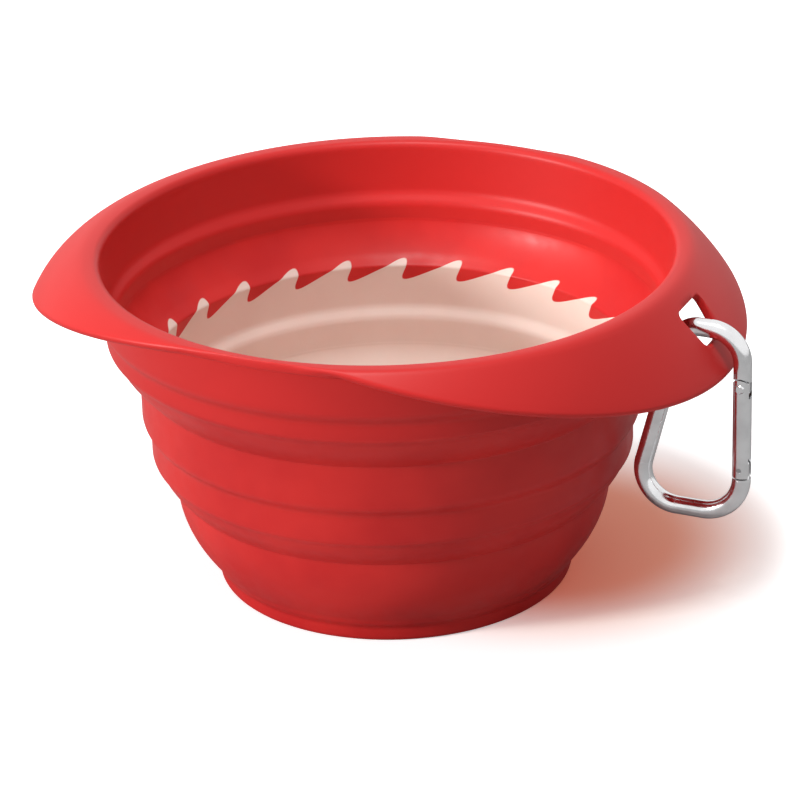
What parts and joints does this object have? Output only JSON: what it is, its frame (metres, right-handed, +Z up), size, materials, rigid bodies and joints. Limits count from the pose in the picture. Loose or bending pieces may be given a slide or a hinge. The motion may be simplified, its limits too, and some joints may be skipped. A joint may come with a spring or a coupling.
{
  "type": "collapsible bowl",
  "caption": "Round collapsible silicone bowl with stepped folding tiers, a flat lip, a drooping skirt with two ears and a metal snap hook hung from one ear.",
  "frame": {"origin": "centre of the foot's underside, on the bowl's axis", "axes": "+Z up along the bowl's axis, +X to the ear that carries the snap hook"},
  "size_m": [0.1779, 0.1418, 0.083],
  "materials": {
    "silicone": "satin red silicone, inside of the lower tiers pale beige",
    "aluminium": "polished, natural",
    "steel": "plain"
  },
  "bodies": {
    "rim": {"rim": "silicone", "upper_web": "silicone"},
    "middle": {"middle_band": "silicone", "lower_web": "silicone"},
    "base": {"base_cup": "silicone"},
    "hook": {"hook": "aluminium"},
    "gate": {"gate": "aluminium", "hinge_rivet": "aluminium", "latch_pin": "steel", "plunger": "steel", "gate_spring": "steel"}
  },
  "joints": [
    {"name": "upper_fold", "type": "slide", "parent": "rim", "child": "middle", "axis": [0, 0, 1], "range_m": [0, 0.0212], "deforming": ["upper_web"]},
    {"name": "lower_fold", "type": "slide", "parent": "middle", "child": "base", "axis": [0, 0, 1], "range_m": [0, 0.0178], "deforming": ["lower_web"]},
    {"name": "hook_swing", "type": "hinge", "parent": "rim", "child": "hook", "pos_m": [0.08259, 0, 0.06814], "axis": [0, -1, 0], "range_deg": [0, 80]},
    {"name": "gate_swing", "type": "hinge", "parent": "hook", "child": "gate", "pos_m": [0.08899, 0, 0.0608], "axis": [0, 1, 0], "range_deg": [0, 25], "stiffness_Nm_per_rad": 0.05, "springref_deg": -20.05}
  ]
}
